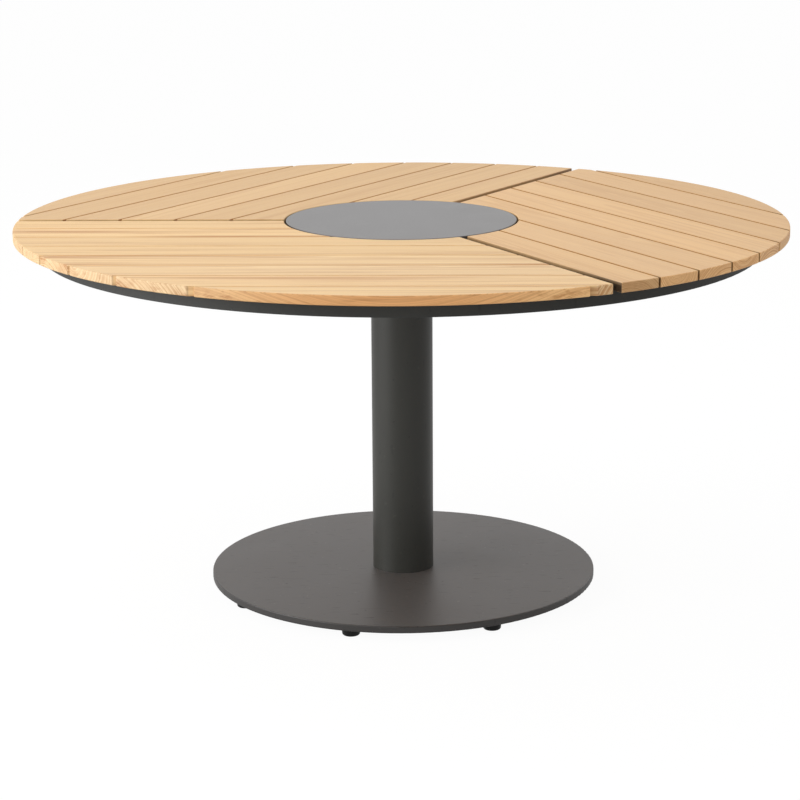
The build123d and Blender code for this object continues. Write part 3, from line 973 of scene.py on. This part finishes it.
@dataclass
class Frame:
    """The coated frame under the planks, its weld beads and the plank screws.

    Attributes:
        finishes: The shared finishes.
        ring_width: Width of the ring's channel.
        weld_leg: Leg of the frame's fillet welds.
        weld_inset: Length left clear at both ends of a weld.
        stitches: Start and end of each stitch weld under the hub plate, as distances from the axis.
        screw_reach: No plank screw is wider than this.
        head_radius: Radius of a screw head.
        head_height: Height of a screw head.
        head_dome: Share of that height that the rounded face takes.
        dome_edge: How steep the dome's edge is, where 1 is upright.
        shank_radius: Radius of a screw's shank.
        recess: Half width, half length and depth of the cross recess.
        recess_soft: Widths over which the recess's sides and ends slope down.
    """

    finishes: Finishes
    ring_width: float = 0.040
    weld_leg: float = 0.004
    weld_inset: float = 0.0025
    stitches: tuple[Span, ...] = ((0.172, 0.207), (0.224, 0.259))
    screw_reach: float = 0.010
    head_radius: float = 0.0045
    head_height: float = 0.003
    head_dome: float = 0.75
    dome_edge: float = 0.98
    shank_radius: float = 0.00225
    recess: Triple = (0.0005, 0.0021, 0.0014)
    recess_soft: Span = (0.0002, 0.0004)

    def build(self) -> None:
        """Dress the frame and add its welds and screws."""
        arms = [f"{kind}_arm_{number}" for number in (1, 2, 3) for kind in ("seam", "mid")]
        dress(self.finishes.frame_coat, "rim_ring", "hub_plate", *arms)
        self.welds()
        self.screws()

    def arm_sides(self) -> list[tuple[float, float, float]]:
        """Find both sides of each arm.

        Returns:
            For each side the angle of the arm's outward line, the side's offset to the left of that
            line, and 1 if it faces left or -1 if it faces right.
        """
        seam_low, seam_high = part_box("seam_arm_2")
        mid_low, mid_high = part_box("mid_arm_3")
        sides = []
        for sector in Sector:
            seam = math.radians(sector.value)
            middle = seam + math.pi / 3.0
            sides += [(seam, -seam_high.y, -1.0), (seam, -seam_low.y, 1.0)]
            sides += [(middle, mid_low.y, -1.0), (middle, mid_high.y, 1.0)]
        return sides

    def welds(self) -> None:
        """Weld the arms to the ring and to the hub plate."""
        ring_low, ring_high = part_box("rim_ring")
        ring_inner = ring_high.x - self.ring_width
        hub_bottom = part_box("hub_plate")[0].z
        heights = np.linspace(ring_low.z + self.weld_inset, ring_high.z - self.weld_inset, 40)[:, None]
        grids = []
        for angle, offset, facing in self.arm_sides():
            outward = np.array([math.cos(angle), math.sin(angle), 0.0])
            aside = np.array([-math.sin(angle), math.cos(angle), 0.0])
            corner = outward * math.sqrt(ring_inner**2 - offset**2) + aside * offset
            grids.append(bead(corner + heights * UP, facing * aside, -outward, self.weld_leg))
            for start, stop in self.stitches:
                reach = np.linspace(start, stop, 44)[:, None]
                line = reach * outward + offset * aside + hub_bottom * UP
                grids.append(bead(line, facing * aside, -UP, self.weld_leg))
        piece = new_piece("frame_weld_beads", grids, 70.0)
        seat(piece, "table", self.finishes.frame_coat)

    def screws(self) -> None:
        """Stand pan-head screws with a cross recess in for the plain ones.

        The face of a head is a dome that falls off towards its edge, less the depth of the recess
        where a point lies near either of two crossing lines.
        """
        half_width, half_length, depth = self.recess
        side_soft, end_soft = self.recess_soft
        share = np.linspace(0.0, 1.0, 15)[:, None]
        angle = circle(49)[None, :]
        across = np.abs(share * self.head_radius * np.cos(angle))
        beyond = np.abs(share * self.head_radius * np.sin(angle))
        wide, slim = np.maximum(across, beyond), np.minimum(across, beyond)
        slot = np.clip((half_width - slim) / side_soft + 0.5, 0.0, 1.0)
        slot = slot * np.clip((half_length - wide) / end_soft, 0.0, 1.0)
        fall = 1.0 - np.sqrt(1.0 - self.dome_edge * share**4)
        face = self.head_height * self.head_dome * fall + depth * slot
        grids = []
        for centre, low, high in shafts("plank_screws", self.screw_reach):
            grids.append(turned(share * self.head_radius, low + face, centre))
            under = low + self.head_height
            profile = [
                (self.head_radius, low + face[-1, 0]),
                (self.head_radius, under),
                (self.shank_radius, under),
                (self.shank_radius, high),
                (0.0, high),
            ]
            grids.append(lathed(profile, angle.size, centre))
        piece = new_piece("pan_head_screws", grids, 35.0)
        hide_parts("plank_screws")
        seat(piece, "table", self.finishes.zinc)


@dataclass
class Pedestal:
    """Column, base plate, their bolts and welds, and the levelling feet.

    Attributes:
        finishes: The shared finishes.
        foot_count: Number of feet.
        weld_leg: Leg of the weld between the column and its head flange.
        bolt_reach: No head bolt is wider than this.
        bolt_flats: Width across the flats of a head bolt.
        bolt_face: Width of the flat face inside a bolt head's chamfer, against that.
        bolt_chamfer: Angle of that chamfer, in degrees.
        bolt_head: Height of a bolt head.
        bolt_radius: Radius of a bolt's shank.
        thread_pitch: Pitch of a foot's thread.
        thread_depth: Depth of that thread.
        thread_flat: Share of the depth that its crests and roots lose to flats.
        stud_radius: Radius of a foot's stud over the thread.
        stud_tip: Length of the chamfer at the tip of a stud or bolt.
        stud_collar: Radius of the flat round a stud's root, against the stud's.
        foot_edge: Radius of the rounded lower edge of a foot.
        foot_taper: Draft of a foot's side, in degrees.
        foot_lip: Radius of the upper edge of a foot.
        lip_inset: Distance of that radius's centre from the side, in radii.
        foot_dish: Depth of the moulding's hollow underneath.
        dish_reach: Where the hollow's floor and its slope end, as shares of the flat sole.
    """

    finishes: Finishes
    foot_count: int = 8
    weld_leg: float = 0.005
    bolt_reach: float = 0.022
    bolt_flats: float = 0.016
    bolt_face: float = 0.94
    bolt_chamfer: float = 30.0
    bolt_head: float = 0.0064
    bolt_radius: float = 0.005
    thread_pitch: float = 0.0015
    thread_depth: float = 0.0008
    thread_flat: float = 0.15
    stud_radius: float = 0.005
    stud_tip: float = 0.001
    stud_collar: float = 1.25
    foot_edge: float = 0.0045
    foot_taper: float = 6.0
    foot_lip: float = 0.0006
    lip_inset: float = 1.2
    foot_dish: float = 0.0008
    dish_reach: Span = (0.6, 0.7)

    def build(self) -> None:
        """Dress the pedestal and add its fine pieces."""
        dress(self.finishes.column_coat, "column_tube", "column_head_flange", "column_foot_plug")
        dress(self.finishes.base_coat, "base_plate")
        dress(self.finishes.zinc, "head_nuts", "base_bolts")
        self.column_weld()
        self.head_bolts()
        for number in range(1, self.foot_count + 1):
            self.foot(number)

    def column_weld(self) -> None:
        """Weld the column to the underside of its head flange, all round."""
        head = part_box("column_tube")[1]
        angle = circle(721)
        outward = np.stack([np.cos(angle), np.sin(angle), 0.0 * angle], axis=1)
        ring = bead(outward * head.x + head.z * UP, outward, -UP, self.weld_leg, closed=True)
        piece = new_piece("column_weld_bead", [ring], 70.0)
        seat(piece, "table", self.finishes.column_coat)

    def head_bolts(self) -> None:
        """Stand hexagon bolts with chamfered heads in for the plain ones.

        The radius of a head is half its flats over the cosine of the angle from the nearest flat's
        middle, and beyond the flat face the head rises with the chamfer's slope.
        """
        angle = circle(73)[None, :]
        half_flats = self.bolt_flats / 2.0
        hexagon = half_flats / np.cos((angle + np.pi / 6.0) % (np.pi / 3.0) - np.pi / 6.0)
        radius = np.linspace(0.0, 1.0, 12)[:, None] * hexagon
        slope = math.tan(math.radians(self.bolt_chamfer))
        chamfer = np.maximum(radius - self.bolt_face * half_flats, 0.0) * slope
        side = np.concatenate([hexagon, hexagon, 0.0 * angle + self.bolt_radius])
        grids = []
        for centre, low, high in shafts("head_bolts", self.bolt_reach):
            grids.append(turned(radius, low + chamfer, centre))
            top = low + self.bolt_head
            rise = np.concatenate([low + chamfer[-1:], 0.0 * angle + top, 0.0 * angle + top])
            grids.append(turned(side, rise, centre))
            shank = [
                (self.bolt_radius, top),
                (self.bolt_radius, high - self.stud_tip),
                (self.bolt_radius - self.stud_tip, high),
                (0.0, high),
            ]
            grids.append(lathed(shank, angle.size, centre))
        piece = new_piece("hexagon_bolts", grids, 35.0)
        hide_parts("head_bolts")
        seat(piece, "table", self.finishes.zinc)

    def foot(self, number: int) -> None:
        """Stand a moulded foot with a threaded stud in for a plain one.

        Args:
            number: Number of the foot.
        """
        low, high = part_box(f"levelling_foot_{number}")
        centre = ((low.x + high.x) / 2.0, (low.y + high.y) / 2.0)
        pad_radius = (high.x - low.x) / 2.0
        pad_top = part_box("base_plate")[0].z
        draft = math.radians(self.foot_taper)
        sole = pad_radius - pad_top * math.tan(draft)
        flat = sole - self.foot_edge * math.tan((math.pi / 2.0 - draft) / 2.0)

        # Profile from the hollow under the sole, round both edges, to the root of the stud
        floor_end, slope_end = (share * flat for share in self.dish_reach)
        hollow = np.array([[0.0, self.foot_dish], [floor_end, self.foot_dish], [slope_end, 0.0]])
        turn = np.linspace(-0.5 * np.pi, -draft, 9)
        edge = np.array([flat, self.foot_edge])
        lower = edge + self.foot_edge * np.stack([np.cos(turn), np.sin(turn)], axis=1)
        turn = np.linspace(-draft, 0.5 * np.pi, 6)
        lip = np.array([pad_radius - self.lip_inset * self.foot_lip, pad_top - self.foot_lip])
        upper = lip + self.foot_lip * np.stack([np.cos(turn), np.sin(turn)], axis=1)
        core = self.stud_radius - self.thread_depth
        root = np.array([[self.stud_collar * self.stud_radius, pad_top], [core, pad_top]])
        profile = np.concatenate([hollow, lower, upper, root])

        # Thread: the radius follows a ridge that climbs one pitch in a turn, down to a chamfered tip
        tip = self.stud_radius - self.stud_tip
        climb = np.linspace(0.0, 1.0, 41)[None, :]
        height = np.linspace(pad_top, high.z, 90)[:, None]
        ridge = np.abs(2.0 * ((height / self.thread_pitch - climb) % 1.0) - 1.0)
        cut = np.clip((1.0 + 2.0 * self.thread_flat) * ridge - self.thread_flat, 0.0, 1.0)
        thread = np.minimum(self.stud_radius - self.thread_depth * cut, tip + (high.z - height))
        grids = [
            lathed(profile, climb.size, centre),
            turned(thread, height, centre),
            lathed([(tip, high.z), (0.0, high.z)], climb.size, centre),
        ]
        piece = new_piece(f"glide_{number}", grids, 50.0)
        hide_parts(f"levelling_foot_{number}")
        seat(piece, f"foot_{number}", self.finishes.nylon)


@dataclass
class Turntable:
    """The turning disc and its bearing.

    Attributes:
        finishes: The shared finishes.
    """

    finishes: Finishes

    def build(self) -> None:
        """Dress the turntable."""
        dress(self.finishes.stoneware, "turntable_disc")
        dress(self.finishes.nylon, "spindle_bush", "ball_cage")
        dress(self.finishes.zinc, "turntable_spindle", "spindle_clip", "bearing_balls")
        dress(self.finishes.zinc, "lower_race", "upper_race", "lower_race_screws", "upper_race_screws")


@dataclass(frozen=True)
class Softbox:
    """One rectangular studio lamp.

    Attributes:
        name: Name of the lamp.
        place: Where it hangs.
        aim: What it points at.
        size: Its width and height.
        power: Its power in watts.
    """

    name: str
    place: Triple
    aim: Triple
    size: Span
    power: float

    def build(self) -> None:
        """Hang the lamp."""
        lamp = bpy.data.lights.new(self.name, "AREA")
        lamp.shape = "RECTANGLE"
        lamp.size, lamp.size_y = self.size
        lamp.energy = self.power
        holder = bpy.data.objects.new(self.name, lamp)
        bpy.context.scene.collection.objects.link(holder)
        holder.location = self.place
        holder.rotation_euler = (Vector(self.aim) - Vector(self.place)).to_track_quat("-Z", "Y").to_euler()


@dataclass
class Studio:
    """White studio: floor, surrounding light, softboxes and camera.

    The camera values are those at which the rim, ring, column and base outlines, the plank lines
    and the seams fall where the photograph has them.

    Attributes:
        focal_pixels: Focal length in pixels of the square picture.
        picture_pixels: Width of the picture in pixels.
        distance: Plan distance from the column to the camera.
        height: Height of the camera.
        pitch: Angle below the horizon, in degrees.
        roll: Turn about the line of sight, in degrees.
        yaw: Turn away from the column, in degrees.
        orbit: Place of the camera round the table, in degrees.
        sensor: Sensor width in millimetres.
        ambient: Strength of the surrounding light on matt surfaces.
        floor_grey: Reflectance of the floor.
        floor_glow: Brightness of the floor where it looks white.
        floor_shade: Share of the floor's own shading that the camera sees.
        mirror_shade: Share of it that reflections show.
        floor_half: Half of the floor's width.
        floor_drop: Depth of the floor under the feet.
        lamps: The softboxes.
    """

    focal_pixels: float = 2462.6
    picture_pixels: float = 800.0
    distance: float = 4.7467
    height: float = 1.5508
    pitch: float = 13.944
    roll: float = -0.36
    yaw: float = -0.056
    orbit: float = 1.442
    sensor: float = 36.0
    ambient: float = 0.58
    floor_grey: float = 0.6
    floor_glow: float = 1.06
    floor_shade: float = 0.1
    mirror_shade: float = 0.5
    floor_half: float = 30.0
    floor_drop: float = 0.0005
    lamps: tuple[Softbox, ...] = (
        Softbox("key_left", (-4.0, -1.6, 1.4), (0.0, 0.0, 0.5), (4.5, 2.6), 180.0),
        Softbox("front_fill", (0.8, -4.6, 1.5), (0.0, 0.0, 0.6), (6.0, 3.0), 13.0),
        Softbox("overhead", (-0.6, 0.6, 3.4), (0.0, 0.0, 0.7), (3.6, 3.6), 26.0),
    )

    def build(self) -> None:
        """Set up the whole studio."""
        self.camera()
        self.surroundings()
        self.floor()
        for lamp in self.lamps:
            lamp.build()
        bpy.context.scene.view_settings.view_transform = "Standard"
        log.info("studio ready")

    def camera(self) -> None:
        """Place the camera where the photograph was taken from."""
        pitch, roll, yaw, orbit = np.radians([self.pitch, self.roll, self.yaw, self.orbit])
        ahead = math.cos(pitch)
        forward = Vector((math.sin(yaw) * ahead, math.cos(yaw) * ahead, -math.sin(pitch)))
        level_right = forward.cross(Vector(UP)).normalized()
        level_up = level_right.cross(forward)
        right = level_right * math.cos(roll) + level_up * math.sin(roll)
        up = level_up * math.cos(roll) - level_right * math.sin(roll)
        axes = Matrix((right, up, -forward)).transposed().to_4x4()
        place = Matrix.Translation((0.0, -self.distance, self.height))
        lens = bpy.data.cameras.new("photo_camera")
        lens.sensor_width = self.sensor
        lens.lens = self.sensor * self.focal_pixels / self.picture_pixels
        holder = bpy.data.objects.new("photo_camera", lens)
        bpy.context.scene.collection.objects.link(holder)
        holder.matrix_world = Matrix.Rotation(orbit, 4, "Z") @ place @ axes
        bpy.context.scene.camera = holder

    @staticmethod
    def rays(graph: Graph) -> tuple[Value, Value]:
        """Tell what the camera sees itself from what it sees in other things.

        Args:
            graph: The node tree.

        Returns:
            A factor that is 1 for what is seen itself, and one for what is mirrored or seen through.
        """
        outputs = ("Is Camera Ray", "Is Glossy Ray", "Is Transmission Ray")
        seen, glossy, through = (graph.node("ShaderNodeLightPath", {}, {}, output) for output in outputs)
        return seen, (glossy + through).clamped()

    def surroundings(self) -> None:
        """Surround the table with soft light that looks white."""
        world = bpy.data.worlds.new("studio")
        world.use_nodes = True
        bpy.context.scene.world = world
        sky = Graph(world.node_tree)
        seen, mirrored = self.rays(sky)
        strength = self.ambient + (1.0 - self.ambient) * (seen + mirrored).clamped()
        light = sky.node("ShaderNodeBackground", {}, {"Color": WHITE, "Strength": strength})
        sky.node("ShaderNodeOutputWorld", {}, {"Surface": light})

    def floor(self) -> None:
        """Lay the pale floor, a flat square that looks white and keeps a faint shadow."""
        span = np.linspace(-self.floor_half, self.floor_half, 2)
        x, y = np.meshgrid(span, span)
        floor = new_piece("studio_floor", [np.stack([x, y, np.full_like(x, -self.floor_drop)], axis=-1)])
        paint = Surface("studio_floor")
        grey = (self.floor_grey, self.floor_grey, self.floor_grey, 1.0)
        matt = paint.node("ShaderNodeBsdfDiffuse", {}, {"Color": grey})
        glow = paint.node("ShaderNodeEmission", {}, {"Color": WHITE, "Strength": self.floor_glow})
        seen, mirrored = self.rays(paint)
        factor = seen * (1.0 - self.floor_shade) + mirrored * (1.0 - self.mirror_shade)
        both = paint.node("ShaderNodeMixShader", {}, {0: factor, 1: matt, 2: glow})
        paint.node("ShaderNodeOutputMaterial", {}, {"Surface": both})
        floor.data.materials.append(paint.material)


def main() -> None:
    """Build the table's looks and the studio, in order."""
    logging.basicConfig(level=logging.INFO, format="%(message)s")
    finishes = Finishes()
    TeakTop().build()
    Frame(finishes).build()
    Pedestal(finishes).build()
    Turntable(finishes).build()
    Studio().build()


if __name__ == "__main__":
    main()
